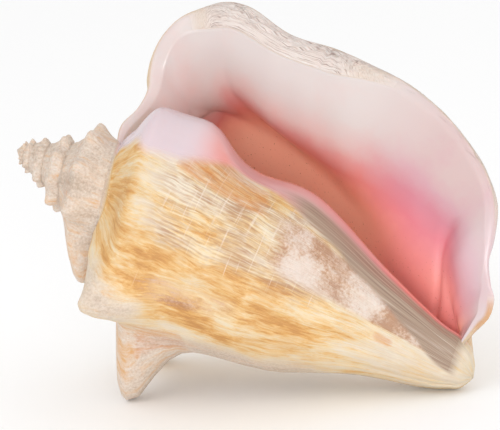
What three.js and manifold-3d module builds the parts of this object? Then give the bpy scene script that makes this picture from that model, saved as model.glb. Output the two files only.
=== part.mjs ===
// A dextral conch shell lying on two shoulder spines and its canal, apex to -X, aperture toward -Y and up.
// Millimetres, +Z up. Origin: middle of the plan box, on the table.
//
// The shell is a logarithmic spiral. A solid core follows it from the apex to half a turn before the lip, and
// an open wall, rooted in the core, goes on and flares into the lip. Points are first worked out in the shell's
// own axis frame: along from the apex to the canal, up from the axis at turn angle 0, and back.
import * as THREE from 'three';
import Module from 'manifold-3d';

// ---- driving dimensions ----
const GROWTH = 1.66;          // size of a whorl over the one before it
const R_WHORL = 27.0;         // shoulder radius at turn angle -180
const U_WHORL = 42.0;         // shoulder distance from the apex at turn angle -180
const SWELL = 1.17;           // extra growth of the last whorl
const LENGTH = 225.0;         // apex to canal tip along the axis
const CANAL_BEND = 17.0;      // canal bends away from the aperture
const T_APEX = -1947.0;       // turn angle of the first column, degrees
const T_END = 240.0;          // the solid core stops here, inside the last half turn
const T_JOIN = 213.0;         // the open wall takes over from the core here
const T_WALL = 195.0;         // the wall is rooted in the core here
const T_FREE = 321.0;         // from here the wall leaves the spiral and flares into the lip
const STEP = 9.0;             // degrees between columns
const WALL = 4.2;             // wall thickness
const SUNK = 2.6;             // the wall's suture edge is buried this deep in the whorl below
const LIP = 5.2;              // extra thickness of the lip
const BEVEL = 13.0;           // how far the inner face stops short of the outer rim, share of the lip x 100
const MIN_BEVEL = 3.0;        // the same at both ends of the rim
const BLUNT = 0.5;            // how round the top of a spine is, share of its half width
const CORE_FADE = 0.07;       // the core shrinks by this share once the wall has taken over
const WALL_INSET = 0.06;      // the wall starts this share inside the core
const PUFF = 0.1;             // the last whorl is this much fuller where it leaves the spiral
const MERGE = 0.06;           // edges shorter than this are merged after the join
const APEX_HEIGHT = 2.2;      // the worn cap over the first columns
const AXIS_TILT = 22.0;       // apex end up, degrees
const AXIS_TURN = -10.0;      // canal end toward -Y, degrees
const ROLL = 5.77;            // settling onto the three feet, degrees about Y
const PITCH = -12.9;          // settling onto the three feet, degrees about X

// ---- numbers and vectors ----
const DEG = Math.PI / 180;
const clamp = (x, a, b) => Math.min(Math.max(x, a), b);
const smooth = (x, a = 0, b = 1) => {
  const t = clamp((x - a) / (b - a), 0, 1);
  return t * t * (3 - 2 * t);
};
const add = (a, b, k = 1) => [a[0] + b[0] * k, a[1] + b[1] * k, a[2] + b[2] * k];
const sub = (a, b) => add(a, b, -1);
const times = (a, k) => a.map((v) => v * k);
const cross = (a, b) => [
  a[1] * b[2] - a[2] * b[1],
  a[2] * b[0] - a[0] * b[2],
  a[0] * b[1] - a[1] * b[0],
];
const len = (a) => Math.hypot(a[0], a[1], a[2]);
const unit = (a) => times(a, 1 / (len(a) + 1e-9));

// Cubic from A to B that leaves along slopeA and arrives along slopeB.
function hermite(A, B, slopeA, slopeB, t) {
  const rest = 1 - t;
  return A.map((_, c) => A[c] * (1 + 2 * t) * rest ** 2 + slopeA[c] * t * rest ** 2
    + B[c] * t * t * (3 - 2 * t) - slopeB[c] * t * t * rest);
}

// Smooth curve through points: cubic pieces whose slopes come from the neighbours. ys: numbers or 3-vectors.
function spline(xs, ys, x) {
  const last = xs.length - 1;
  const flat = typeof ys[0] === 'number';
  const y = flat ? ys.map((v) => [v]) : ys;
  let i = 0;
  while (i < last - 1 && x >= xs[i + 1]) i++;
  const gap = (k) => xs[k + 1] - xs[k];
  const rise = (k) => times(y[k + 1].map((v, c) => v - y[k][c]), 1 / gap(k));
  const slope = (k) => {
    if (k === 0) return rise(0);
    if (k === last) return rise(last - 1);
    const before = rise(k - 1);
    return rise(k).map((v, c) => (before[c] * gap(k) + v * gap(k - 1)) / (gap(k) + gap(k - 1)));
  };
  const h = gap(i);
  const out = hermite(y[i], y[i + 1], times(slope(i), h), times(slope(i + 1), h), (x - xs[i]) / h);
  return flat ? out[0] : out;
}

// ---- growth of the shoulder: radius and distance from the apex at turn angle T (degrees) ----
const turns = (T) => (T + 180) / 360;
const radius = (T) => {
  const x = turns(T);
  return R_WHORL * GROWTH ** x * SWELL ** smooth(x, 0, 0.6) + 1.5 * smooth(-x, 1.5, 3.5);
};
const advance = (T) => {
  const x = turns(T);
  const grown = U_WHORL * GROWTH ** Math.min(x, 1) * SWELL ** smooth(x);
  return grown - 7 * smooth(T, 230, 330) - 2.2 * smooth(-x, 1.5, 3.5);
};
const bend = (u) => -CANAL_BEND * clamp(u / LENGTH, 0, 1.2) ** 2.4;
// how far past the shoulder the next suture lies, share of the radius; over the lip it climbs the spire
const share = (T) => 0.24 + 0.33 * smooth(turns(T), -0.9, -0.25) - 0.98 * smooth(T, -125, -30);
const LAST_SHARE = 0.57;      // the same for the last whorl, where no whorl follows

// ---- outline of a whorl: s is -1 at the suture, 0 at the shoulder and 1 at the canal tip ----
const BODY_S = [0, 0.06, 0.15, 0.283, 0.428, 0.547, 0.686, 0.77, 0.854, 0.937, 0.98, 1];
const BODY_R = [1, 0.995, 0.965, 0.9, 0.8, 0.65, 0.468, 0.388, 0.312, 0.2, 0.11, 0];
const RAMP_S = [-1, -0.6, -0.3, -0.12, 0];
const RAMP_R = [0, 0.37, 0.77, 0.98, 1];
const RAMP_U = [0, 0.34, 0.6, 0.8, 1];
function outline(T, s, sunk) {
  const r = radius(T);
  const u = advance(T);
  if (s >= 0) return [u + (LENGTH - u) * s, r * spline(BODY_S, BODY_R, s)];
  const e = share(T - 360);
  const below = radius(T - 360);
  const us = advance(T - 360) + e * below;
  const rs = below * (e > 0 ? 1 - 0.12 * e : 1 + 1.05 * e) - sunk;
  return [us + (u - us) * spline(RAMP_S, RAMP_U, s), rs + (r - rs) * spline(RAMP_S, RAMP_R, s)];
}

// ---- shoulder spines, callus swellings, and the hollow of the inner edge (its reach is negative) ----
// each: turn angle, reach, half angle, half length, lean to the apex, shift along the axis
const NODES = [
  [34, 2.5, 27, 14, 0, 6], [30, 8.5, 24, 12, 0, 22], [48, 6.5, 22, 9, 0, -9], [2, 5, 32, 48, 0, 70],
  [14, -8, 36, 22, 0, 42], [20, 4, 45, 9, 0, 156],
  [97, 2.5, 13, 9, 0, 0], [141, 14, 13, 11, 12, 0], [134, 10, 15, 10, 4, -15],
  [187, 31, 13, 12, -5, 0], [226, 38, 12, 12, 0, 0], [274, 22, 13, 12, 3, 0], [314, 13, 13, 12, 4, 0],
  [-188, 17, 12, 9, -9, 0], [-108, 5, 12, 7, 0, 0], [-62, 4, 12, 7, 0, 0],
];
for (let T = -236; T > -1900; T -= 41) {
  const size = radius(T);
  NODES.push([T, 0.21 * size, 11, 0.17 * size, 0.08 * size, 0]);
}
const NODE_END = 3.4;         // a spine ends this many half angles from its middle
function whorl(T, s, spiny = true, scale = 1, sunk = 0) {
  const [u, r] = outline(T, s, sunk);
  let along = u;
  let out = r * scale;
  for (const [T0, reach, halfAngle, halfLength, lean, shift] of spiny ? NODES : []) {
    const a = (T - T0) / halfAngle;
    if (Math.abs(a) > NODE_END) continue;
    const b = (u - advance(T0) - shift) / halfLength;
    const d = (Math.hypot(a, b, BLUNT) - BLUNT) * (1 + BLUNT);
    const k = Math.exp(-0.95 * d ** 1.4);
    out += reach * k;
    along -= lean * k ** 1.4;
  }
  return [along, out * Math.cos(T * DEG) + bend(along), -out * Math.sin(T * DEG)];
}

// ---- the lip: its free rim from the suture to the canal, and how it flares below the rim ----
const RIM_S = [
  -1, -0.82, -0.66, -0.5, -0.36, -0.22, -0.08, 0.04, 0.14, 0.22, 0.32, 0.43,
  0.54, 0.64, 0.73, 0.8, 0.86, 0.895, 0.92, 0.945, 0.965, 0.98, 0.99, 1,
];
const RIM = [
  [42.9, 16.2, -6], [40, 27, -2], [43.4, 35.8, 1], [43.8, 45, 4], [40.7, 51.3, 6], [38.7, 61, 8],
  [40.8, 72.9, 8], [47.8, 85, 7], [60.6, 95.3, 5], [72.8, 97.2, 3], [94.5, 92.2, 1], [117.9, 93.1, -2],
  [141.7, 91, -5], [164.9, 86.1, -8], [185.2, 76.2, -10], [199, 65.9, -11], [209, 52.4, -12],
  [212.3, 39.5, -12], [213.4, 31.3, -12], [217.8, 22.5, -13], [221.8, 16, -13], [221.6, 7.2, -11],
  [217.1, -0.1, -8], [215.3, -6.3, -6],
];
const FLARE_S = [-1, -0.64, -0.28, 0.06, 0.32, 0.57, 0.77, 0.88, 0.96, 1];
const FLARE = [
  [6, -2, 6], [14, -8, 14], [16, -14, 16], [12, -24, 16], [4, -29, 14],
  [-4, -29, 13], [-12, -24, 13], [-10, -16, 13], [-6, -12, 12], [-2, -6, 8],
];
const inset = (T) => 1 - WALL_INSET * clamp((T_JOIN - T) / (T_JOIN - T_WALL), 0, 1);
const puff = (T) => 1 + PUFF * smooth(T, T_END, T_FREE);
const LIP_END = T_FREE + 100;  // past T_FREE the turn angle counts shares of the way across the lip
const HALF_LIP = 50;
function wall(a, s, spiny = true) {
  const T = Math.min(a, T_FREE);
  if (a <= T_FREE) return whorl(T, s, spiny, puff(T) * inset(T), SUNK);
  const start = whorl(T_FREE, s, spiny, puff(T_FREE), SUNK);
  const leave = unit(sub(start, whorl(T_FREE - 2, s, spiny, puff(T_FREE - 2), SUNK)));
  const rim = spline(RIM_S, RIM, s);
  const middle = add(rim, spline(FLARE_S, FLARE, s));
  const first = len(sub(middle, start));
  const second = len(sub(rim, middle));
  const arrive = unit(sub(rim, middle));
  const across = unit(add(unit(sub(rim, start)), arrive));
  const q = (a - T_FREE) / HALF_LIP;
  if (q < 1) return hermite(start, middle, times(leave, first), times(across, first), q);
  return hermite(middle, rim, times(across, second), times(arrive, second), q - 1);
}

// ---- mesh store ----
const points = [];
const faces = [];
const put = (p) => points.push(p) - 1;
const tri = (a, b, c) => {
  if (a !== b && b !== c && c !== a) faces.push([a, b, c]);
};

// ---- the core: columns along the spiral, each one's last point is the first point one turn later ----
const PER_TURN = 360 / STEP;
const COLUMNS = Math.round((T_END - T_APEX) / STEP) + 1;
const LAST = COLUMNS - 1;
const RAMP = [-1, -0.66, -0.33, -0.1, 0];
const SUB = [0.33, 0.66, 1];  // from the shoulder to the next suture, share of the way
const BODY = [0.08, 0.16, 0.24, 0.32, 0.4, 0.47, 0.54, 0.61, 0.68, 0.74, 0.8, 0.86, 0.915, 0.96, 0.988];
const SUTURE = RAMP.length - 1 + SUB.length;   // place of the suture point in a column
const columnT = (i) => T_END - (LAST - i) * STEP;
const coreScale = (T) => 1 - CORE_FADE * clamp((T - T_JOIN) / (T_END - T_JOIN), 0, 1);
const tip = put([LENGTH, bend(LENGTH), 0]);
const columns = [];
for (let i = LAST; i >= 0; i--) {              // outermost column first, so that the welded point exists
  const T = columnT(i);
  const column = [];
  const welded = i + PER_TURN <= LAST;
  const room = radius(T) / (LENGTH - advance(T));
  const joinS = LAST_SHARE * room;
  const sutureS = welded ? share(T) * room : joinS;
  for (const s of RAMP) column.push(put(whorl(T, s, true, s > -1 ? coreScale(T) : 1)));
  for (const f of SUB) {
    if (f === 1 && welded) column.push(columns[i + PER_TURN][0]);
    else column.push(put(whorl(T, sutureS * f, true, coreScale(T))));
  }
  if (i >= LAST - PER_TURN) {
    for (const f of BODY) column.push(put(whorl(T, joinS + (1 - joinS) * f, true, coreScale(T))));
    column.push(tip);
  }
  columns[i] = column;
}
for (let i = 0; i < LAST; i++) {
  const A = columns[i];
  const B = columns[i + 1];
  const shared = Math.min(A.length, B.length);
  for (let j = 0; j < shared - 1; j++) {
    tri(A[j], B[j], A[j + 1]);
    tri(A[j + 1], B[j], B[j + 1]);
  }
}

// the web that closes the core inside the last half turn, from its outer outline to the whorl below
function closeCore() {
  const A = columns[LAST];
  const B = columns[LAST - PER_TURN].slice(SUTURE);
  let i = 0;
  let j = 0;
  while (i < A.length - 1 || j < B.length - 1) {
    const canStep = i < A.length - 1;
    const behind = j >= B.length - 1 || (canStep && points[A[i + 1]][0] <= points[B[j + 1]][0]);
    if (behind) tri(A[i], B[j], A[++i]);
    else tri(A[i], B[j], B[++j]);
  }
}

// the worn apex
function closeApex() {
  const loop = columns[0].slice(0, SUTURE);
  for (let i = PER_TURN; i > 0; i--) loop.push(columns[i][0]);
  const middle = loop.reduce((sum, v) => add(sum, points[v], 1 / loop.length), [0, 0, 0]);
  const top = put(add(middle, [-APEX_HEIGHT, 0, 0]));
  loop.forEach((v, i) => tri(v, loop[(i + 1) % loop.length], top));
}
closeCore();
closeApex();
const coreFaces = faces.splice(0);

// ---- the wall and lip: rings of outer face, rolled rim and inner face, swept from suture to canal ----
const WALL_S = [
  -1, -0.82, -0.66, -0.5, -0.36, -0.22, -0.1, 0, 0.06, 0.13, 0.2, 0.27, 0.34, 0.41, 0.48, 0.54,
  0.6, 0.66, 0.72, 0.77, 0.82, 0.86, 0.895, 0.92, 0.945, 0.965, 0.98,
];
const OUT = [];
for (let T = T_WALL; T < T_FREE - 1; T += STEP) OUT.push(T);
for (const q of [0, 14, 28, 42, 56, 70, 85, 100]) OUT.push(T_FREE + q);
const inTo = (end) => OUT.map((a) => T_WALL + (a - T_WALL) * (end - T_WALL) / (LIP_END - T_WALL)).reverse();
const bevel = (s) => MIN_BEVEL + (BEVEL - MIN_BEVEL) * smooth(s, -0.05, 0.15) * (1 - smooth(s, 0.42, 0.6));
function thick(a, s) {
  const lip = LIP * smooth(a, T_FREE, T_FREE + 80) * smooth(s, -0.9, 0) * (1 - smooth(s, 0.4, 0.75));
  return (WALL + lip) * clamp((1.03 - s) / 0.16, 0.1, 1) * (0.6 + 0.4 * smooth(s, -1, -0.8));
}
// the outer face without spines and with its corners rounded off: a weighted mean along s
const SOFTEN = [[-0.1, 0.15], [-0.05, 0.2], [0, 0.3], [0.05, 0.2], [0.1, 0.15]];
const S_END = 0.995;
function soft(a, s) {
  const width = 1 - 0.4 * smooth(s, -0.15, 0.25);
  const near = (d) => wall(a, clamp(s + d * width, -1, S_END), false);
  return SOFTEN.reduce((sum, [d, weight]) => add(sum, near(d), weight), [0, 0, 0]);
}
function inner(a, s) {
  const alongTurn = sub(soft(a + 1, s), soft(a - 1, s));
  const alongS = sub(soft(a, Math.min(s + 0.02, S_END)), soft(a, Math.max(s - 0.02, -1)));
  return add(soft(a, s), unit(cross(alongTurn, alongS)), thick(a, s));
}
const ROLLED = [[0.25, 0.16], [0.55, 0.24], [0.85, 0.12]];   // across the rim: share of the way, bulge
const rings = WALL_S.map((s) => {
  const ring = OUT.map((a) => put(wall(a, s)));
  const end = LIP_END - bevel(s);
  const O = wall(LIP_END, s);
  const I = inner(end, s);
  const outward = unit(sub(O, wall(LIP_END - 8, s)));
  for (const [k, b] of ROLLED) ring.push(put(add(add(O, sub(I, O), k), outward, b * thick(end, s))));
  for (const a of inTo(end)) ring.push(put(inner(a, s)));
  return ring;
});
// the wall's canal end closes inside the core, from PLUG under the canal to FOOT under the rim
const PLUG = [219.5, bend(219.5), 0];
const FOOT = [213.5, -10, -4];
const atFoot = (a) => put(add(PLUG, sub(FOOT, PLUG), clamp((a - T_FREE) / 100, 0, 1)));
rings.push([...OUT, LIP_END - 1, LIP_END - 2, LIP_END - 3, ...inTo(LIP_END - 3)].map(atFoot));
for (let i = 0; i < rings.length - 1; i++) {
  const A = rings[i];
  const B = rings[i + 1];
  for (let j = 0; j < A.length; j++) {
    const k = (j + 1) % A.length;
    tri(A[j], A[k], B[j]);
    tri(A[k], B[k], B[j]);
  }
}
// zip a ring shut across its thickness, stepping in from both ends in turn
function shut(ring, flip) {
  let i = 0;
  let j = ring.length - 1;
  while (i + 1 < j) {
    const front = i < ring.length - 1 - j;
    const [a, b, c] = front ? [ring[i], ring[i + 1], ring[j]] : [ring[i], ring[j - 1], ring[j]];
    if (flip) tri(a, c, b);
    else tri(a, b, c);
    if (front) i++;
    else j--;
  }
}
shut(rings[0], true);
shut(rings[rings.length - 1], false);
const wallFaces = faces.splice(0);

// ---- from the shell's axis frame to the table ----
const tilt = AXIS_TILT * DEG;
const turn = AXIS_TURN * DEG;
const ALONG = [Math.cos(turn) * Math.cos(tilt), Math.sin(turn), -Math.cos(turn) * Math.sin(tilt)];
const UP = [Math.sin(tilt), 0, Math.cos(tilt)];
const BACK = [-Math.sin(turn) * Math.cos(tilt), Math.cos(turn), Math.sin(turn) * Math.sin(tilt)];
const rollAbout = new THREE.Matrix4().makeRotationY(ROLL * DEG);
const settle = new THREE.Matrix4().makeRotationX(PITCH * DEG).multiply(rollAbout);
function stand(p) {
  const q = add(add(times(ALONG, p[0]), UP, p[1]), BACK, p[2]);
  return new THREE.Vector3(...q).applyMatrix4(settle).toArray();
}

// ---- join the core and the wall into one solid ----
const wasm = await Module();
wasm.setup();
function solidOf(some) {
  const place = new Map();
  const vertProperties = [];
  for (const v of some.flat()) {
    if (place.has(v)) continue;
    place.set(v, place.size);
    vertProperties.push(...stand(points[v]));
  }
  const triVerts = new Uint32Array(some.flat().map((v) => place.get(v)));
  const mesh = new wasm.Mesh({ numProp: 3, vertProperties: new Float32Array(vertProperties), triVerts });
  return new wasm.Manifold(mesh);
}
const whole = solidOf(coreFaces).add(solidOf(wallFaces)).simplify(MERGE);
const largest = whole.decompose().sort((a, b) => b.volume() - a.volume())[0];
const joined = largest.getMesh();

const geometry = new THREE.BufferGeometry();
const position = Float32Array.from({ length: joined.numVert * 3 }, (_, i) => {
  return joined.vertProperties[Math.floor(i / 3) * joined.numProp + i % 3];
});
geometry.setAttribute('position', new THREE.BufferAttribute(position, 3));
geometry.setIndex(new THREE.BufferAttribute(new Uint32Array(joined.triVerts), 1));
geometry.computeBoundingBox();
const box = geometry.boundingBox;
geometry.translate(-(box.min.x + box.max.x) / 2, -(box.min.y + box.max.y) / 2, -box.min.z);
geometry.computeVertexNormals();

const CHALK = 0xe6cfa8;
const chalk = new THREE.MeshStandardMaterial({ name: 'shell', color: CHALK, roughness: 0.55, metalness: 0 });
const shell = new THREE.Mesh(geometry, chalk);
shell.name = 'conch_shell';
const conch = new THREE.Group();
conch.add(shell);
export default conch;
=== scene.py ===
# %% [markdown]
# # A conch shell, grown by a formula
#
# A sea snail builds its shell at one edge. The edge is a slanted loop, and it turns about an axis while it
# gets bigger by the same share each turn. So a few numbers describe the whole shell: the growth of a turn,
# how fast the shoulder moves away from the apex, and the outline of one whorl. The last half turn then
# leaves the spiral and flares into a wide lip. We make the solid spiral (the core) and the wall of the lip
# as two closed surfaces, worked out with numpy on grids, and let a Boolean join them, as the snail's layers
# are joined.

# %% The frame
import math

import bpy
import numpy as np
from mathutils import Matrix, Vector


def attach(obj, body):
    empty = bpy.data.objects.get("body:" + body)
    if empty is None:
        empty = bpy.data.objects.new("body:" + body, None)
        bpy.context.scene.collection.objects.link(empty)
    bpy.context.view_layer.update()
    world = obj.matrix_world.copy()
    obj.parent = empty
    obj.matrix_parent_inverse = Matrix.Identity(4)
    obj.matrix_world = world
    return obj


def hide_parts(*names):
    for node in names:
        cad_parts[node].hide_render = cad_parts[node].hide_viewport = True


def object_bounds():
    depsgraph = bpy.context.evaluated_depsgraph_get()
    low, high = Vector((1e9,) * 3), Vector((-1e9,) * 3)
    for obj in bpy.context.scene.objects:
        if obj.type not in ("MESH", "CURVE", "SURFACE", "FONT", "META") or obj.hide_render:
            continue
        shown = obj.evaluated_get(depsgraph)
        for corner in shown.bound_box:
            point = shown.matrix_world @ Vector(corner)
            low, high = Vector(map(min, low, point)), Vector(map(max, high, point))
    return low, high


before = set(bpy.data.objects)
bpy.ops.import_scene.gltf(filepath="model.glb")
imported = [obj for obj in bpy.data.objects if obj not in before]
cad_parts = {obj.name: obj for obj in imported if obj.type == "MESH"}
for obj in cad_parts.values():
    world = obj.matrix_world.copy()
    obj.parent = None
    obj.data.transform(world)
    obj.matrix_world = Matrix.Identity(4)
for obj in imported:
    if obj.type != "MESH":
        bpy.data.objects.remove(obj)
cad_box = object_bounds()
cad_low, cad_high = np.array(cad_box[0]), np.array(cad_box[1])
MM = 0.001
print("frame box, mm:", (cad_low / MM).round(1), (cad_high / MM).round(1))

# %% [markdown]
# ## Driving dimensions
#
# The shell has its own axis frame: `along` from the apex to the canal, `up` away from the axis at turn
# angle 0, and `back`. A turn angle counts up in the direction of growth. The same numbers made the solid in
# the frame.

# %% Driving dimensions, in millimetres and degrees
GROWTH = 1.66           # size of a whorl over the one before it
R_WHORL = 27.0          # shoulder radius at turn angle -180
U_WHORL = 42.0          # shoulder distance from the apex at turn angle -180
SWELL = 1.17            # extra growth of the last whorl
LENGTH = 225.0          # apex to canal tip along the axis
CANAL_BEND = 17.0       # the canal bends away from the aperture
T_APEX = -1947.0        # turn angle of the first column
T_END = 240.0           # the solid core stops here, inside the last half turn
T_JOIN = 213.0          # the open wall takes over from the core here
T_WALL = 195.0          # the wall is rooted in the core here
T_FREE = 321.0          # from here the wall leaves the spiral and flares into the lip
LIP_END = T_FREE + 100  # the lip's rim: past T_FREE the turn angle counts shares of the lip
WALL = 4.2              # wall thickness
SUNK = 2.6              # the wall's suture edge is buried this deep in the whorl below
LIP = 5.2               # extra thickness of the lip
BEVEL = 13.0            # the inner face stops this share of the lip short of the outer rim
AXIS_TILT = 22.0        # apex end up
AXIS_TURN = -10.0       # canal end toward the viewer
ROLL = 5.77             # settling onto the three feet, about Y
PITCH = -12.9           # settling onto the three feet, about X
PER_TURN = 240          # columns in one turn
STEP = 360 / PER_TURN
LAST_SHARE = 0.57       # the last whorl's ramp ends this share of the radius past the shoulder

# %% [markdown]
# ## Small tools
#
# A soft step, a cubic between two points, a smooth curve through given points, and value noise.
# Blender has curves and noise textures of its own, but here they shape a mesh before it exists, so they are
# short formulas. All work on whole arrays at once, which is many times faster than a loop over points.

# %% Soft step, smooth curve and noise
def smooth(x, low=0.0, high=1.0):
    """0 below low, 1 above high, and 3t^2 - 2t^3 between."""
    t = np.clip((x - low) / (high - low), 0, 1)
    return t * t * (3 - 2 * t)


def band(x, low, high, soft):
    """1 between low and high, fading out over a distance of soft on both sides."""
    return smooth(x, low - soft, low) * (1 - smooth(x, high, high + soft))


def hermite(A, B, slope_a, slope_b, t):
    """Cubic from A to B that leaves along slope_a and arrives along slope_b."""
    rest = 1 - t
    out = A * (1 + 2 * t) * rest ** 2 + slope_a * t * rest ** 2
    return out + B * t * t * (3 - 2 * t) - slope_b * t * t * rest


def spline(xs, ys, x):
    """Cubic pieces through (xs, ys), each knot's slope the neighbouring slopes weighted by the other gap."""
    xs = np.array(xs, float)
    ys = np.array(ys, float).reshape(len(xs), -1)
    gap = np.diff(xs)[:, None]
    rise = np.diff(ys, axis=0) / gap
    middle = (rise[:-1] * gap[1:] + rise[1:] * gap[:-1]) / (gap[1:] + gap[:-1])
    slope = np.concatenate([rise[:1], middle, rise[-1:]])
    i = np.clip(np.searchsorted(xs, x, side="right") - 1, 0, len(xs) - 2)
    h = gap[i]
    out = hermite(ys[i], ys[i + 1], slope[i] * h, slope[i + 1] * h, (x - xs[i])[..., None] / h)
    return out[..., 0] if out.shape[-1] == 1 else out


NOISE_CELLS = 89


def lattice(x, y, seed):
    """Value noise from -1 to 1: random numbers on whole grid points, blended by the soft step between."""
    cells = np.random.default_rng(seed).uniform(-1, 1, (NOISE_CELLS, NOISE_CELLS))
    i, j = np.floor(x).astype(int), np.floor(y).astype(int)
    u, v = smooth(x - i), smooth(y - j)
    i0, i1, j0, j1 = i % NOISE_CELLS, (i + 1) % NOISE_CELLS, j % NOISE_CELLS, (j + 1) % NOISE_CELLS
    low = cells[i0, j0] * (1 - u) + cells[i1, j0] * u
    high = cells[i0, j1] * (1 - u) + cells[i1, j1] * u
    return low * (1 - v) + high * v


def length_of(v):
    """Length of each vector in an array."""
    return np.linalg.norm(v, axis=-1, keepdims=True)


def unit(v):
    """Each vector divided by its length."""
    return v / (length_of(v) + 1e-9)


# %% [markdown]
# ## How the shell grows
#
# The shoulder is the whorl's widest line. Its radius and its distance from the apex are both multiplied by
# GROWTH each turn, which is the logarithmic spiral every snail follows. The suture, where one whorl sits on
# the one before it, lies a share of the radius past the shoulder. A Screw modifier sweeps an outline too,
# but it can't make it grow, so the spiral is written as three laws of the turn angle.

# %% Growth laws
def turns(T):
    """Turns since turn angle -180."""
    return (T + 180) / 360


def radius(T):
    """Shoulder radius: R_WHORL times GROWTH to the power of the turns, fuller in the last whorl."""
    x = turns(T)
    return R_WHORL * GROWTH ** x * SWELL ** smooth(x, 0, 0.6) + 1.5 * smooth(-x, 1.5, 3.5)


def advance(T):
    """Shoulder distance from the apex: U_WHORL times GROWTH to the power of the turns, less at the lip."""
    x = turns(T)
    along = U_WHORL * GROWTH ** np.minimum(x, 1) * SWELL ** smooth(x)
    return along - 7 * smooth(T, 230, 330) - 2.2 * smooth(-x, 1.5, 3.5)


def share(T):
    """How far past the shoulder the next suture lies, share of the radius; at the lip it climbs the spire."""
    return 0.24 + 0.33 * smooth(turns(T), -0.9, -0.25) - 0.98 * smooth(T, -125, -30)


def bend(u):
    """The canal's sideways bend: CANAL_BEND times the share of the length to the power 2.4."""
    return -CANAL_BEND * np.clip(u / LENGTH, 0, 1.2) ** 2.4


def arc(T):
    """Length grown along the shoulder, mm: the radius times 2 pi over the logarithm of GROWTH."""
    return R_WHORL * GROWTH ** turns(T) * 2 * math.pi / math.log(GROWTH)


last_size, last_place = float(radius(180.0)), float(advance(180.0))
print("last shoulder, mm: radius", round(last_size, 1), "and", round(last_place, 1), "from the apex")

# %% [markdown]
# ## The outline of a whorl
#
# `s` is -1 at the suture, 0 at the shoulder and 1 at the canal tip. The ramp from suture to shoulder is
# nearly straight. The body below it is a long belly that draws in to the canal. Two short lists of points
# hold it. They are enough for a smooth curve, and more would only add wobbles.

# %% Outline of a whorl
BODY_S = [0, 0.06, 0.15, 0.283, 0.428, 0.547, 0.686, 0.77, 0.854, 0.937, 0.98, 1]
BODY_R = [1, 0.995, 0.965, 0.9, 0.8, 0.65, 0.468, 0.388, 0.312, 0.2, 0.11, 0]
RAMP_S = [-1, -0.6, -0.3, -0.12, 0]
RAMP_R = [0, 0.37, 0.77, 0.98, 1]
RAMP_U = [0, 0.34, 0.6, 0.8, 1]
print("outline points:", len(BODY_S) + len(RAMP_S))


def outline(T, s, sunk=0.0):
    """(along, radius): the body scales with the shoulder radius, the ramp spans suture to shoulder."""
    r, u = radius(T), advance(T)
    e, rp = share(T - 360), radius(T - 360)
    us = advance(T - 360) + e * rp
    rs = rp * np.where(e > 0, 1 - 0.12 * e, 1 + 1.05 * e) - sunk
    ramp, body = np.clip(s, -1, 0), np.clip(s, 0, 1)
    along = np.where(s < 0, us + (u - us) * spline(RAMP_S, RAMP_U, ramp), u + (LENGTH - u) * body)
    out = np.where(s < 0, rs + (r - rs) * spline(RAMP_S, RAMP_R, ramp), r * spline(BODY_S, BODY_R, body))
    return along, out


# %% [markdown]
# ## Spines, knobs and wear
#
# The shoulder carries a row of blunt spines, one each 39 to 48 degrees on the last whorl and smaller ones
# each 41 degrees on the spire. Broad swellings of callus and one hollow shape the inner side of the
# aperture. Each is a smooth bump: it falls off with the distance from its centre, measured in half angles
# and half lengths. Sculpting would do it too, but a formula keeps the row even and its feet smooth. The
# rest of the relief is noise in the direction of growth: faint ripples where growth paused, shallow dents,
# and threads and pits where the old spire has worn.

# %% Spines and surface relief
BLUNT = 0.5             # how round the top of a spine is, share of its half width
NODE_END = 3.4          # a spine ends this many half angles from its middle
# turn angle, reach (negative for a hollow), half angle, half length, lean to the apex, shift along the axis
NODES = [
    (34, 2.5, 27, 14, 0, 6), (30, 8.5, 24, 12, 0, 22), (48, 6.5, 22, 9, 0, -9), (2, 5, 32, 48, 0, 70),
    (14, -8, 36, 22, 0, 42), (20, 4, 45, 9, 0, 156),
    (97, 2.5, 13, 9, 0, 0), (141, 14, 13, 11, 12, 0), (134, 10, 15, 10, 4, -15),
    (187, 31, 13, 12, -5, 0), (226, 38, 12, 12, 0, 0), (274, 22, 13, 12, 3, 0), (314, 13, 13, 12, 4, 0),
    (-188, 17, 12, 9, -9, 0), (-108, 5, 12, 7, 0, 0), (-62, 4, 12, 7, 0, 0),
]
for T_node in range(-236, -1900, -41):
    size = float(radius(T_node))
    NODES.append((T_node, 0.21 * size, 11, 0.17 * size, 0.08 * size, 0))
print("spines and swellings:", len(NODES))


def bumps(T, along):
    """(outward, toward the apex) push of all spines: reach times exp(-0.95 d^1.4), d the blunted distance."""
    out, lean = np.zeros(along.shape), np.zeros(along.shape)
    for centre, reach, half_angle, half_length, tilt, shift in NODES:
        a = (T - centre) / half_angle
        b = (along - float(advance(np.float64(centre))) - shift) / half_length
        d = np.sqrt(a * a + b * b + BLUNT ** 2) - BLUNT
        k = np.where(np.abs(a) > NODE_END, 0, np.exp(-0.95 * (d * (1 + BLUNT)) ** 1.4))
        out += reach * k
        lean += tilt * k ** 1.4
    return out, lean


def relief(T, s, along):
    """Height of the worn surface in mm: ripples along growth lines, dents, threads and pits on the spire."""
    x, small = arc(T), np.clip(radius(T) / 50, 0.25, 1)
    ripple = 0.26 * lattice(x / 3.4, along / 70, 1) + 0.34 * lattice(x / 9, along / 45, 2)
    dents = 0.55 * lattice(x / 24, along / 26, 3)
    old = 1 - smooth(T, -150, -90)
    threads = 0.45 * np.cos(along / small * 1.9) * (0.6 + 0.4 * lattice(x / 8, along / 6, 4))
    pits = -1.3 * smooth(lattice(x / 3.1, along / 2.6, 5), 0.45, 0.9)
    flakes = 0.9 * band(s, -1, -0.72, 0.12) * smooth(T, -20, 20) * np.abs(lattice(x / 5, along / 2.4, 6))
    height = (ripple + dents) * (1 - 0.5 * old) + old * small * (threads + pits + 0.5 * dents) + flakes
    return height * smooth(s + 1, 0, 0.1)


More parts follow.
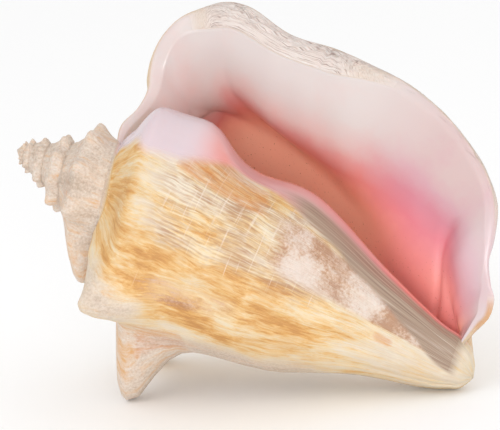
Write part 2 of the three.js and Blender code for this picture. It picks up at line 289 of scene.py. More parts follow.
def whorl(T, s, spiny=True, scale=1.0, sunk=0.0, worn=False):
    """Point of the spiral in the axis frame: the outline, pushed out by spines and relief, turned by T."""
    T, s = np.broadcast_arrays(np.asarray(T, float), np.asarray(s, float))
    along, out = outline(T, s, sunk)
    out = out * scale
    if spiny:
        push, lean = bumps(T, along)
        along, out = along - lean, out + push
    if worn:
        height = relief(T, s, along)
        slant = 0.7 * smooth(-s, 0, 0.15)
        along, out = along - slant * height, out + (1 - 0.3 * slant) * height
    angle = np.radians(T)
    return np.stack([along, out * np.cos(angle) + bend(along), -out * np.sin(angle)], -1)


# %% [markdown]
# ## The lip
#
# Past T_FREE the snail stops turning and lays the wall out as a wide lip. Its free rim is a curve in space,
# given by points from the suture round to the canal. A second list says how far the middle of the lip is
# from the rim, which sets the flare. The surface between the last whorl outline and the rim is two cubic
# strips that leave the whorl in its own direction, so no crease shows where the spiral ends.

# %% Rim and flare curves, in the axis frame
RIM_S = [-1, -0.82, -0.66, -0.5, -0.36, -0.22, -0.08, 0.04, 0.14, 0.22, 0.32, 0.43,
         0.54, 0.64, 0.73, 0.8, 0.86, 0.895, 0.92, 0.945, 0.965, 0.98, 0.99, 1]
RIM = [(42.9, 16.2, -6), (40, 27, -2), (43.4, 35.8, 1), (43.8, 45, 4), (40.7, 51.3, 6), (38.7, 61, 8),
       (40.8, 72.9, 8), (47.8, 85, 7), (60.6, 95.3, 5), (72.8, 97.2, 3), (94.5, 92.2, 1), (117.9, 93.1, -2),
       (141.7, 91, -5), (164.9, 86.1, -8), (185.2, 76.2, -10), (199, 65.9, -11), (209, 52.4, -12),
       (212.3, 39.5, -12), (213.4, 31.3, -12), (217.8, 22.5, -13), (221.8, 16, -13), (221.6, 7.2, -11),
       (217.1, -0.1, -8), (215.3, -6.3, -6)]
FLARE_S = [-1, -0.64, -0.28, 0.06, 0.32, 0.57, 0.77, 0.88, 0.96, 1]
FLARE = [(6, -2, 6), (14, -8, 14), (16, -14, 16), (12, -24, 16), (4, -29, 14), (-4, -29, 13),
         (-12, -24, 13), (-10, -16, 13), (-6, -12, 12), (-2, -6, 8)]
print("rim points:", len(RIM), "and it reaches", max(up for along, up, back in RIM), "mm from the axis")

LIP_SWELL = 0.1         # the wall gets this share wider before it leaves the spiral
ROOT_INSET = 0.06       # the wall's root lies this share inside the core
HALF_LIP = (LIP_END - T_FREE) / 2


def swelling(T):
    """The wall's radius over the spiral's: 1 plus LIP_SWELL by a soft step up to T_FREE."""
    return 1 + LIP_SWELL * smooth(T, T_END, T_FREE)


def wall(a, s, spiny=True, worn=False):
    """Outer face of the open wall: the spiral up to T_FREE, then two cubics out to the rim at LIP_END."""
    a, s = np.broadcast_arrays(np.asarray(a, float), np.asarray(s, float))
    T = np.minimum(a, T_FREE)
    inset = 1 - ROOT_INSET * np.clip((T_JOIN - T) / (T_JOIN - T_WALL), 0, 1)
    start = whorl(T, s, spiny, swelling(T) * inset, SUNK, worn)
    leave = unit(whorl(T, s, spiny, swelling(T), SUNK) - whorl(T - 2, s, spiny, swelling(T - 2), SUNK))
    rim = spline(RIM_S, RIM, s)
    middle = rim + spline(FLARE_S, FLARE, s)
    first, second = length_of(middle - start), length_of(rim - middle)
    arrive = (rim - middle) / second
    across = unit(unit(rim - start) + arrive)
    q = np.clip((a - T_FREE) / HALF_LIP, 0, 2)[..., None]
    near = hermite(start, middle, leave * first, across * first, np.minimum(q, 1))
    far = hermite(middle, rim, across * second, arrive * second, np.maximum(q - 1, 0))
    return np.where(q <= 0, start, np.where(q < 1, near, far))


# %% [markdown]
# ## The core's mesh
#
# A column of points runs down the outline every STEP degrees. Each spire column ends where the suture is,
# which is the first point of the column one turn later, so the spiral closes on itself with no seam. The
# last turn goes on to the canal tip. A flat web closes its open end, deep inside the aperture, and a small
# cap closes the apex. A voxel remesh could close it as well, but it would round off the sutures.

# %% Grid helpers
def cells_of(index):
    """Two triangles for each cell of a grid of vertex numbers."""
    a, b, c, d = index[:-1, :-1], index[1:, :-1], index[:-1, 1:], index[1:, 1:]
    first = np.stack([a, b, c], -1).reshape(-1, 3)
    second = np.stack([c, b, d], -1).reshape(-1, 3)
    return np.concatenate([first, second])


def zip_up(left, right, left_at, right_at):
    """Triangles between two rows of vertex numbers, always stepping on the row that is less far along."""
    keys = np.concatenate([np.maximum.accumulate(left_at[1:]), np.maximum.accumulate(right_at[1:])])
    is_left = np.concatenate([np.ones(len(left) - 1, bool), np.zeros(len(right) - 1, bool)])
    is_left = is_left[np.argsort(keys, kind="stable")]
    i = np.cumsum(is_left) - is_left
    j = np.cumsum(~is_left) - ~is_left
    next_left, next_right = left[np.minimum(i + 1, len(left) - 1)], right[np.minimum(j + 1, len(right) - 1)]
    return np.stack([left[i], right[j], np.where(is_left, next_left, next_right)], -1)


def used_only(points, faces, *values):
    """Drop triangles with a repeated corner, then the points that no triangle uses."""
    same = (faces[:, 0] == faces[:, 1]) | (faces[:, 1] == faces[:, 2]) | (faces[:, 2] == faces[:, 0])
    keep, faces = np.unique(faces[~same], return_inverse=True)
    return points[keep], faces.reshape(-1, 3), [v[keep] for v in values]


# %% Core mesh
RAMP_POINTS, SUB_POINTS, BODY_POINTS = 12, 6, 116
CROWDING = 1.15         # above 1, the points of a column crowd toward the shoulder
HIDDEN_SHRINK = 0.07    # the core ends this share smaller, so that the wall covers it
APEX_TIP = 2.2          # the apex stands this far past its first column
column_T = T_END - STEP * np.arange(round((T_END - T_APEX) / STEP), -1, -1)
ramp_s = -np.linspace(1, 0, RAMP_POINTS) ** CROWDING
gap = LENGTH - advance(column_T)
last_turn = column_T > T_END - 360
join_s = LAST_SHARE * radius(column_T) / gap
sub_end = np.where(last_turn, join_s, share(column_T) * radius(column_T) / gap)
sub_s = sub_end[:, None] * np.linspace(0, 1, SUB_POINTS + 1)[None, 1:]
spire_s = np.concatenate([np.broadcast_to(ramp_s, (len(column_T), RAMP_POINTS)), sub_s], 1)
spire_T = np.broadcast_to(column_T[:, None], spire_s.shape)
step_f = np.linspace(0, 1, BODY_POINTS + 2)[1:-1]
body_T = np.broadcast_to(column_T[-PER_TURN - 1:, None], (PER_TURN + 1, BODY_POINTS))
body_s = join_s[-PER_TURN - 1:, None] + (1 - join_s[-PER_TURN - 1:, None]) * step_f[None]

core_T = np.concatenate([spire_T.ravel(), body_T.ravel(), [0.0]])
core_s = np.concatenate([spire_s.ravel(), body_s.ravel(), [1.0]])
fade = 1 - HIDDEN_SHRINK * np.clip((core_T - T_JOIN) / (T_END - T_JOIN), 0, 1)
core_points = whorl(core_T, core_s, scale=np.where(core_s > -1, fade, 1), worn=True)
core_points[-1] = (LENGTH, bend(LENGTH), 0)

spire_index = np.arange(spire_T.size).reshape(spire_T.shape)
spire_index[:-PER_TURN, -1] = spire_index[PER_TURN:, 0]
body_index = spire_T.size + np.arange(body_T.size).reshape(body_T.shape)
tip_column = np.full((PER_TURN + 1, 1), len(core_T) - 1)
body_index = np.concatenate([spire_index[-PER_TURN - 1:, -1:], body_index, tip_column], 1)
outer_edge = np.concatenate([spire_index[-1, :-1], body_index[-1]])
end_web = zip_up(outer_edge, body_index[0], core_points[outer_edge, 0], core_points[body_index[0], 0])

apex_loop = np.concatenate([spire_index[0, :-1], spire_index[PER_TURN:0:-1, 0]])
apex_point = core_points[apex_loop].mean(0) - (APEX_TIP, 0, 0)
apex_fan = np.stack([apex_loop, np.roll(apex_loop, -1), np.full(len(apex_loop), len(core_points))], -1)
core_points = np.concatenate([core_points, apex_point[None]])
core_T, core_s = np.append(core_T, T_APEX), np.append(core_s, -1.0)
core_faces = np.concatenate([cells_of(spire_index), cells_of(body_index), end_web, apex_fan])
core_points, core_faces, (core_T, core_s) = used_only(core_points, core_faces, core_T, core_s)
print("core:", len(core_points), "points,", len(core_faces), "triangles")

# %% [markdown]
# ## The wall's mesh
#
# At every `s` a closed ring goes out along the outer face, round the rolled rim, and back along the inner
# face. The inner face is the spineless outer one, averaged over its neighbours and moved in by the
# thickness, because the snail fills its corners from inside. A Solidify modifier would copy the spines to
# the inside. The rim is a stack of thin layers, so it steps up in terraces.

# %% Wall mesh
OUT_TURN, OUT_LIP, RIM_POINTS = 84, 44, 22
RIM_LENGTH = 330.0      # mm along the rim for a step of 1 in s
THIN_BEVEL = 3.0        # the bevel where the lip is thin
S_END = 0.995           # the softened face is not worked out past here, short of the canal's point
# the wall's last row is a short line inside the canal, from PLUG on the spiral side to FOOT on the rim side
PLUG_AT = 219.5
PLUG = np.array([PLUG_AT, float(bend(PLUG_AT)), 0])
FOOT = np.array([213.5, -10, -4])
LOBE, CREASE, FOLDS = 4.0, 1.8, 0.7     # mm: swelling by the canal, groove beside it, waves on the lip
TERRACE, CHIP = 1.3, 2.2                # mm: step of a layer on the rim, depth of a chip
TURN_ROWS, BODY_ROWS, TIP_ROWS = 46, 92, 34
TIP_FROM, TIP_TO = 0.86, 0.985          # rows are closer together from here to here
# step along s and its weight
SOFTEN = [(-0.1, 0.15), (-0.05, 0.2), (0, 0.3), (0.05, 0.2), (0.1, 0.15)]


def soft_wall(a, s):
    """The outer face without spines, averaged along s so that its corners are round."""
    narrow = 1 - 0.4 * smooth(s, -0.15, 0.25)
    return sum(weight * wall(a, np.clip(s + step * narrow, -1, S_END), False) for step, weight in SOFTEN)


def thick(a, s):
    """Wall thickness: thicker across the lip, thin at the canal and the suture."""
    lip = LIP * smooth(a, T_FREE, T_FREE + 80) * smooth(s, -0.9, 0) * (1 - smooth(s, 0.4, 0.75))
    return (WALL + lip) * np.clip((1.03 - s) / 0.16, 0.1, 1) * (0.6 + 0.4 * smooth(s, -1, -0.8))


def inner_wall(a, s):
    """The softened outer face moved by its thickness along its normal, the cross product of its slopes."""
    lobe = LOBE * np.exp(-((s - 0.9) / 0.04) ** 2 - ((a - 388) / 26) ** 2)
    crease = -CREASE * np.exp(-((s - 0.835) / 0.011) ** 2) * band(a, 322, 372, 20)
    folds = FOLDS * lattice(RIM_LENGTH * s / 17, a / 60, 31) * smooth(a, 350, 375) * smooth(s, 0.1, 0.25)
    slope_a = soft_wall(a + 1, s) - soft_wall(a - 1, s)
    slope_s = soft_wall(a, np.minimum(s + 0.02, S_END)) - soft_wall(a, np.maximum(s - 0.02, -1))
    depth = thick(a, s) + lobe + crease + folds
    return soft_wall(a, s) + unit(np.cross(slope_a, slope_s)) * depth[..., None]


s_ramp = np.linspace(-1, 0, TURN_ROWS)[:-1]
s_body = np.linspace(0, TIP_FROM, BODY_ROWS)[:-1]
s_tip = np.linspace(TIP_FROM, TIP_TO, TIP_ROWS)
wall_s = np.concatenate([s_ramp, s_body, s_tip])[:, None]
bevel = THIN_BEVEL + (BEVEL - THIN_BEVEL) * smooth(wall_s, -0.05, 0.15) * (1 - smooth(wall_s, 0.42, 0.6))
rim_start = LIP_END - bevel
turn_a = np.linspace(T_WALL, T_FREE, OUT_TURN + 1)[:-1]
out_a = np.concatenate([turn_a, np.linspace(T_FREE, LIP_END, OUT_LIP + 1)])
in_a = T_WALL + (out_a[None, ::-1] - T_WALL) * (rim_start - T_WALL) / (LIP_END - T_WALL)

outer = wall(out_a[None], wall_s, worn=True)
inner = inner_wall(in_a, np.broadcast_to(wall_s, in_a.shape))
outward = unit(outer[:, -1:] - wall(LIP_END - 8, wall_s))

# %% The layered rim, and the wall closed into rings
LAYER_COUNT = 3.4
rim_t = np.linspace(0, 1, RIM_POINTS + 2)[None, 1:-1]
rim_along = RIM_LENGTH * wall_s
waviness = 0.9 * lattice(rim_along / 13, rim_t * 2, 11) + 0.4 * lattice(rim_along / 4, rim_t * 5, 12)
layers = rim_t * LAYER_COUNT + waviness
terrace = (layers - np.floor(layers)) - 0.5
chips = -CHIP * smooth(lattice(rim_along / 6, rim_t * 3, 13), 0.55, 0.95)
layered = smooth(wall_s, 0.04, 0.16) * (1 - 0.65 * smooth(wall_s, 0.45, 0.6)) * (1 - smooth(wall_s, 0.8, 0.9))
rim_edge = np.sin(np.pi * rim_t) ** 0.7 * layered
rounding = (0.42 - 0.16 * layered) * thick(rim_start, wall_s) * np.sin(np.pi * rim_t)
bulge = rounding + (TERRACE * terrace + chips) * rim_edge
rim_band = outer[:, -1:] + (inner[:, :1] - outer[:, -1:]) * rim_t[..., None] + outward * bulge[..., None]
ring = np.concatenate([outer, rim_band, inner], 1)
foot_t = np.concatenate([out_a, np.full(RIM_POINTS, LIP_END - 1.5), in_a[-1]])
foot = PLUG + (FOOT - PLUG) * np.clip((foot_t - T_FREE) / 100, 0, 1)[:, None]
ring = np.concatenate([ring, foot[None]])

wall_index = np.arange(ring.shape[0] * ring.shape[1]).reshape(ring.shape[:2])
closed = np.concatenate([wall_index, wall_index[:, :1]], 1)


def shut(loop):
    """Triangles across a thin closed loop, stepping in from both ends in turn."""
    k = np.arange(len(loop) - 2)
    i, j = k // 2, len(loop) - 1 - (k + 1) // 2
    third = np.where(k % 2 == 0, j - 1, i + 1)
    return np.stack([loop[i], loop[third], loop[j]], -1)


wall_faces = np.concatenate([cells_of(closed.T), shut(wall_index[0])[:, ::-1], shut(wall_index[-1])])
wall_points = ring.reshape(-1, 3)
print("wall:", len(wall_points), "points,", len(wall_faces), "triangles")

# %% [markdown]
# ## Zones
#
# The shell is one substance in two finishes: a chalky outer layer with ochre streaks, and a porcelain-like
# glaze laid over it inside the aperture and round its edge. The zones could be painted by hand, but then
# every change of shape would spoil them. Here each point gets numbers between 0 and 1 that say how far it
# is in a zone, worked out from its turn angle and `s`, so the finish stays where it belongs. `flow` holds
# growth length, distance along the axis and side, so that patterns in the material follow the growth lines
# instead of the room.

# %% Coloured patches of the outer layer
# each: turn angles from, to and fade, then s from, to and fade
BELOW_KNOB = (42, 62, 9), (0.1, 0.32, 0.07)
CANAL_PATCH = (104, 108, 12), (0.72, 0.75, 0.045)
SPINE_FOOT = (156, 172, 8), (0.03, 0.16, 0.06)
BESIDE_KNOB = (14, 30, 10), (0.05, 0.6, 0.2)
SCUFFED = (46, 98, 12), (0.1, 0.5, 0.08)
BLEACHED = (58, 88, 12), (0.46, 0.84, 0.16)
BLEACHED_SPOT = (122, 132, 5), (0.12, 0.3, 0.1)


def patch(T, s, T_span, s_span):
    """1 inside both spans, fading to 0 around them."""
    return band(T, *T_span) * band(s, *s_span)


# %% Zones of the core
CALLUS_S = [-1, -0.4, 0, 0.07, 0.14, 0.22, 0.3, 0.4, 0.5, 0.6, 0.7, 0.8, 0.88, 0.95, 1]
CALLUS_T = [52, 56, 62, 60, 52, 40, 35, 40, 48, 55, 64, 80, 100, 114, 118]


def core_zones(T, s, along):
    """Zones of the core: the glaze ends at the callus edge, and the colour deepens into the aperture, where
    the top of the blush also brings painted light.
    """
    none = np.zeros(T.shape)
    edge = spline(CALLUS_S, CALLUS_T, s) + 1.6 * lattice(along / 9, none, 21)
    lip_foot = np.maximum(advance(T) + share(T) * radius(T) + 6, 54) - 45 * smooth(T, 10, 30)
    glaze = smooth(T, -130, -119) * (1 - smooth(T, edge - 4, edge + 4)) * (1 - smooth(s, 0.925, 0.96))
    knob = band(T, 20, 70, 16) * (1 - smooth(s, 0.08, 0.2))
    old = 1 - smooth(T, -150, -110)
    tips = smooth(bumps(T, along)[0], 5, 15)
    front = smooth(T, 20, 40) * (1 - smooth(T, 150, 175))
    shoulder = 0.5 * (1 - smooth(s, -0.15, 0.1))
    belly = (0.2 + 0.35 * band(T, 108, 140, 14)) * (1 - smooth(s, 0.45, 0.8))
    underside = 0.75 * smooth(T, 150, 170) * (1 - smooth(s, 0.3, 0.7))
    spire_band = 0.75 * old * band(s, -0.55, -0.25, 0.12) * smooth(T, -560, -440)
    amber = [patch(T, s, *BELOW_KNOB), patch(T, s, *CANAL_PATCH), 0.9 * patch(T, s, *SPINE_FOOT), spire_band]
    return {
        "glaze": glaze * smooth(along, lip_foot - 1, lip_foot + 1.5),
        # blush near 1, deep inside, picks the painted light at the top of the porcelain ramps
        "blush": 0.45 + 0.55 * (1 - smooth(T, -30, 30)),
        "rosy": none,
        "lilac": np.maximum(knob, 0.4 * patch(T, s, *BESIDE_KNOB)),
        "brown": smooth(T, 18, 30) * smooth(s, 0.32, 0.46),
        "rim": none,
        "gold": (1 - old) * (0.25 + front * np.maximum(shoulder, belly)) * (1 - 0.7 * tips),
        "amber": np.maximum.reduce(amber),
        "scuffed": patch(T, s, *SCUFFED),
        "bleached": patch(T, s, *BLEACHED) + 0.5 * patch(T, s, *BLEACHED_SPOT),
        "worn": np.maximum.reduce([old, 0.6 * tips, underside]),
        "flow": np.stack([arc(T), along, none], -1),
    }


# %% Zones of the wall
WHITE_S = [-1, -0.3, 0, 0.12, 0.24, 0.4, 0.6, 0.7, 0.8, 0.87, 0.93, 1]
WHITE_A = [350, 352, 366, 390, 396, 392, 388, 392, 398, 412, 424, 430]
LIP_GROWTH = 0.6        # mm of growth for one step of `a` across the lip
RIM_BREADTH = 10.0      # mm across the rim
SIDE_APART, RIM_APART = 40, 80      # these keep the patterns of the two sides and the rim apart


def wall_zones(a, s, along, side, rim_t):
    """Zones of the wall: side is 0 outside and 1 inside, rim_t is 0 to 1 over the rim and -1 elsewhere."""
    none = np.zeros(a.shape)
    growth = arc(np.minimum(a, T_FREE)) + LIP_GROWTH * np.maximum(a - T_FREE, 0)
    narrow = smooth(s, 0.44, 0.6) * smooth(rim_t, 0.25, 0.6)
    on_rim = (rim_t >= 0) * smooth(s, 0.02, 0.12) * (1 - narrow) * (1 - smooth(s, 0.82, 0.9))
    white = spline(WHITE_S, WHITE_A, s)
    # blush near 1, deep in the aperture, picks the painted light at the top of the porcelain ramps
    blush = 1 - smooth(a, white - 70, white + 4)
    lobe = smooth(s, 0.82, 0.86) * (1 - smooth(s, 0.955, 0.975)) * smooth(a, LIP_END - 16, LIP_END - 6)
    flow_x = np.where(on_rim > 0, RIM_LENGTH * s, growth)
    flow_y = np.where(on_rim > 0, RIM_BREADTH * rim_t, along)
    return {
        "glaze": np.maximum(smooth(side, 0.25, 0.6), lobe) * (1 - on_rim),
        "blush": np.maximum(blush * (1 - 0.45 * smooth(-s, 0, 0.3)), 0.1 * smooth(-s, -0.15, 0.1)),
        "rosy": smooth(s, 0.5, 0.74) * (1 - smooth(s, 0.945, 0.985)),
        "lilac": 0.5 * smooth(s, 0.8, 0.9) * smooth(a, 360, 390),
        "brown": none,
        "rim": on_rim,
        "gold": none + 0.6,
        "amber": band(s, 0.965, 0.985, 0.01) * smooth(a, 370, 390),
        "scuffed": none,
        "bleached": none,
        "worn": 0.35 * smooth(a, 190, 260),
        "flow": np.stack([flow_x, flow_y, SIDE_APART * side + RIM_APART * on_rim], -1),
    }


# %% Numbers for every point
no_rim = np.full(len(out_a), -1.0)
ring_a = np.concatenate([out_a, np.full(RIM_POINTS, LIP_END), in_a[0]])
ring_side = np.concatenate([np.zeros(len(out_a)), np.linspace(0, 1, RIM_POINTS), np.ones(len(out_a))])
ring_t = np.concatenate([no_rim, rim_t[0], no_rim])
ring_s = np.append(wall_s, 1.0)[:, None]
wall_a, wall_side, wall_t, whole_s = [
    np.broadcast_to(values, wall_index.shape).ravel() for values in (ring_a, ring_side, ring_t, ring_s)]
zones_of_core = core_zones(core_T, core_s, core_points[:, 0])
zones_of_wall = wall_zones(wall_a, whole_s, wall_points[:, 0], wall_side, wall_t)
for name in ("glaze", "worn", "rim"):
    print(name, "on core and wall, share of the points:", zones_of_core[name].mean().round(2),
          zones_of_wall[name].mean().round(2))

# %% [markdown]
# ## Standing it on the table
#
# The axis frame is turned to the pose in which the shell lies: on two spines and its canal. A Boolean union
# then joins the two closed surfaces. It needs clean closed meshes, which the grids are. The zone numbers
# are stored on face corners, because the Boolean blends corner values where it cuts an edge.

# %% From the axis frame to the table
tilt, turn = math.radians(AXIS_TILT), math.radians(AXIS_TURN)
AXES = np.array([
    [math.cos(turn) * math.cos(tilt), math.sin(turn), -math.cos(turn) * math.sin(tilt)],
    [math.sin(tilt), 0, math.cos(tilt)],
    [-math.sin(turn) * math.cos(tilt), math.cos(turn), math.sin(turn) * math.sin(tilt)],
])
settle = np.array(Matrix.Rotation(math.radians(PITCH), 3, "X") @ Matrix.Rotation(math.radians(ROLL), 3, "Y"))


def mesh_piece(name, points, faces, zones):
    """A mesh object from arrays in the axis frame, with its zone numbers on the face corners."""
    mesh = bpy.data.meshes.new(name)
    mesh.from_pydata(points @ AXES @ settle.T * MM, [], faces)
    corner = faces.ravel()
    for zone, value in zones.items():
        kind = "FLOAT_VECTOR" if value.ndim == 2 else "FLOAT"
        field = mesh.attributes.new(zone, kind, "CORNER")
        key = "vector" if value.ndim == 2 else "value"
        field.data.foreach_set(key, np.ascontiguousarray(value[corner], np.float32).ravel())
    piece = bpy.data.objects.new(name, mesh)
    bpy.context.scene.collection.objects.link(piece)
    return piece


shell = mesh_piece("shell_surface", core_points, core_faces, zones_of_core)
lip = mesh_piece("lip_wall", wall_points, wall_faces, zones_of_wall)
union = shell.modifiers.new("join the lip", "BOOLEAN")
union.operation, union.solver, union.object = "UNION", "MANIFOLD", lip
joined = bpy.data.meshes.new_from_object(shell.evaluated_get(bpy.context.evaluated_depsgraph_get()))
shell.modifiers.clear()
shell.data = joined
bpy.data.objects.remove(lip)

# %% [markdown]
# ### Into the frame's box
#
# The plain solid already stands in the frame. So the surface is slid until its box has the same middle and
# the same floor, and isn't scaled, as the growth numbers are the same. Smooth shading hides the facets.

# %% Placing it in the frame's box
flat = np.zeros(3 * len(joined.vertices), np.float32)
joined.vertices.foreach_get("co", flat)
spots = flat.reshape(-1, 3).astype(float)
low, high = spots.min(0), spots.max(0)
shift = (cad_low + cad_high) / 2 - (low + high) / 2
shift[2] = cad_low[2] - low[2]
joined.vertices.foreach_set("co", (spots + shift).astype(np.float32).ravel())
joined.polygons.foreach_set("use_smooth", np.ones(len(joined.polygons), bool))
joined.update()
print("shell:", len(joined.polygons), "faces, size mm", ((high - low) / MM).round(1))

# %% [markdown]
# ## The finish
#
# A conch is aragonite, the same calcium carbonate as pearl, in crossed layers. The weathered outside is
# chalky and matt. Inside, fine layers make a porcelain surface. The mineral's IOR is 1.53 to 1.68, so 1.55
# here, and light goes a little way in, so it gets a small subsurface share. Two materials would meet in a
# hard line, and the real glaze thins out over the chalk, so one material covers both and the zones mix
# them.

# %% Colour and node helpers
def colour(code):
    """sRGB hex to linear RGBA: ((c + 0.055) / 1.055) to the power 2.4 above the straight foot."""
    c = np.array([int(code[i:i + 2], 16) / 255 for i in (0, 2, 4)])
    linear = np.where(c <= 0.04045, c / 12.92, ((c + 0.055) / 1.055) ** 2.4)
    return (*linear.tolist(), 1.0)


finish = bpy.data.materials.new("aragonite shell, chalky outside and porcelain inside")
finish.use_nodes = True
tree = finish.node_tree
tree.nodes.clear()


def node(kind, inputs=None, out=0, stops=(), **settings):
    """Add one node: its settings, its values and links by name or number, and (place, hex) colour stops."""
    new = tree.nodes.new(kind)
    for key, value in settings.items():
        setattr(new, key, value)
    for key, value in (inputs or {}).items():
        if isinstance(value, bpy.types.NodeSocket):
            tree.links.new(value, new.inputs[key])
        else:
            new.inputs[key].default_value = value
    if stops:
        marks = new.color_ramp.elements
        for place, code in stops[2:]:
            marks.new(place)
        for mark, (place, code) in zip(marks, stops):
            mark.position = place
            mark.color = colour(code)
    return new.outputs[out] if new.outputs else new


# %% [markdown]
# ### Patterns
#
# Everything on a shell is drawn out along its growth lines. So most noise is read at the `flow`
# coordinates, divided by the size of its marks, and some of it at coordinates that wander a little, because
# growth lines do. Clouds and grain have nothing to do with growth and are read in the room.

# %% Coordinates and noise
zone_names = [name for name in zones_of_core if name != "flow"]
zone = {name: node("ShaderNodeAttribute", out=2, attribute_name=name) for name in zone_names}
flow = node("ShaderNodeAttribute", out=1, attribute_name="flow")
room = node("ShaderNodeTexCoord", out=3)
wander = node("ShaderNodeTexNoise", {"Vector": room, "Scale": 1 / 0.018, "Detail": 2.0, "Roughness": 0.5}, 1)
wander = node("ShaderNodeVectorMath", {0: wander, 1: (3.5, 14.0, 0.0)}, operation="MULTIPLY")
wavy = node("ShaderNodeVectorMath", {0: flow, 1: wander}, operation="ADD")

# coordinates, size of a mark across and along the growth lines in mm, detail, roughness, distortion
GROWN = {
    "patches": (wavy, 11, 34, 4.0, 0.65, 0.0), "streaks": (wavy, 1.6, 12, 6.0, 0.8, 0.2),
    "lines": (wavy, 0.8, 12, 2.0, 0.5, 0.0), "scratches": (flow, 26, 1.6, 2.0, 0.6, 0.0),
    "hairs": (flow, 1.3, 50, 2.0, 0.6, 0.0), "layers": (flow, 25, 1.11, 4.0, 0.6, 0.0),
}
noise = {}
for name, (source, across, along, detail, roughness, bent) in GROWN.items():
    spot = node("ShaderNodeVectorMath", {0: source, 1: (1 / across, 1 / along, 1.0)}, operation="MULTIPLY")
    noise[name] = node("ShaderNodeTexNoise", {"Vector": spot, "Scale": 1.0, "Detail": detail,
                                              "Roughness": roughness, "Distortion": bent})
for name, width, detail, roughness in (("clouds", 0.019, 4.0, 0.6), ("grain", 0.0011, 3.0, 0.65)):
    noise[name] = node("ShaderNodeTexNoise", {"Vector": room, "Scale": 1 / width, "Detail": detail,
                                              "Roughness": roughness})
print("zones:", len(zone), "noise patterns:", len(noise))

# %% [markdown]
# ### The chalky outside
#
# Ochre skin is left in the growth lines of the front, most of it on the shoulder. Over it come tan blotches
# and pale scratches where it was scuffed, a bleached patch, the bare worn chalk of the spire with rust in
# it, and amber patches. Each is a coat: a share worked out from noise plus a zone, and a colour. Math
# MULTIPLY_ADD gives input 0 times input 1 plus input 2. Map Range starts a coat at input 1, completes it at
# input 2, and input 4 is its greatest share.

# %% Ochre skin
gold = node("ShaderNodeMath", {0: noise["patches"], 1: 1.9, 2: -1.5}, operation="MULTIPLY_ADD")
gold = node("ShaderNodeMath", {0: noise["streaks"], 1: 1.4, 2: gold}, operation="MULTIPLY_ADD")
gold = node("ShaderNodeMath", {0: zone["gold"], 1: 0.75, 2: gold}, operation="MULTIPLY_ADD")
gold = node("ShaderNodeMapRange", {0: gold, 1: 0.15, 2: 1.15}, interpolation_type="SMOOTHSTEP")
OCHRE = [(0.0, "DED1BD"), (0.3, "E1CAA2"), (0.6, "DDB67C"), (0.8, "D3A05C"), (1.0, "BE8748")]
outer_colour = node("ShaderNodeValToRGB", {0: gold}, stops=OCHRE)

# %% Blotches, scratches and the bleached patch
blotches = node("ShaderNodeMath", {0: noise["clouds"], 1: noise["lines"]}, operation="ADD")
blotches = node("ShaderNodeMapRange", {0: blotches, 1: 0.85, 2: 1.2, 4: 0.75})
tan = node("ShaderNodeMath", {0: zone["scuffed"], 1: 0.8, 2: 0.25}, operation="MULTIPLY_ADD")
tan = node("ShaderNodeMath", {0: tan, 1: blotches}, operation="MULTIPLY")
scratched = node("ShaderNodeMath", {0: zone["scuffed"], 1: 0.12, 2: noise["scratches"]},
                 operation="MULTIPLY_ADD")
scratched = node("ShaderNodeMapRange", {0: scratched, 1: 0.72, 2: 0.82, 4: 0.55})
bleach = node("ShaderNodeMath", {0: noise["streaks"], 1: 1.6, 2: zone["bleached"]}, operation="MULTIPLY_ADD")
bleach = node("ShaderNodeMath", {0: noise["patches"], 1: 1.2, 2: bleach}, operation="MULTIPLY_ADD")
bleach = node("ShaderNodeMapRange", {0: bleach, 1: 1.75, 2: 2.3, 4: 0.85})
mottle = node("ShaderNodeMath", {0: noise["grain"], 1: 0.35, 2: noise["clouds"]}, operation="MULTIPLY_ADD")
MOTTLED = [(0.58, "A97C62"), (0.66, "C4A490"), (0.73, "D6C3B7"), (0.84, "DFD2C9")]
mottled = node("ShaderNodeValToRGB", {0: mottle}, stops=MOTTLED)

# %% Worn chalk with rust, and amber
rust = node("ShaderNodeMath", {0: noise["streaks"], 1: 0.7, 2: noise["patches"]}, operation="MULTIPLY_ADD")
rust = node("ShaderNodeMapRange", {0: rust, 1: 0.86, 2: 1.08, 4: 0.85})
dirt = node("ShaderNodeMath", {0: noise["patches"], 1: 0.6}, operation="MULTIPLY")
dirt = node("ShaderNodeMath", {0: noise["grain"], 1: 0.4, 2: dirt}, operation="MULTIPLY_ADD")
CHALK = [(0.38, "B7A391"), (0.47, "CDBBAB"), (0.54, "D8CABD"), (0.64, "E0D6CC")]
chalk = node("ShaderNodeValToRGB", {0: dirt}, stops=CHALK)
chalk = node("ShaderNodeMix", {0: rust, 6: chalk, 7: colour("D09A58")}, 2, data_type="RGBA")
worn = node("ShaderNodeMath", {0: noise["clouds"], 1: 0.5, 2: zone["worn"]}, operation="MULTIPLY_ADD")
worn = node("ShaderNodeMapRange", {0: worn, 1: 0.35, 2: 0.95})
amber = node("ShaderNodeMath", {0: noise["streaks"], 1: 1.2, 2: zone["amber"]}, operation="MULTIPLY_ADD")
amber = node("ShaderNodeMapRange", {0: amber, 1: 1.3, 2: 1.95, 4: 0.9})

# %% The outer coats, one over the other
TAN, SCRATCH, AMBER = colour("A9764C"), colour("E4D6C6"), colour("C67A40")
for part, coat in ((tan, TAN), (scratched, SCRATCH), (bleach, mottled), (worn, chalk), (amber, AMBER)):
    outer_colour = node("ShaderNodeMix", {0: part, 6: outer_colour, 7: coat}, 2, data_type="RGBA")
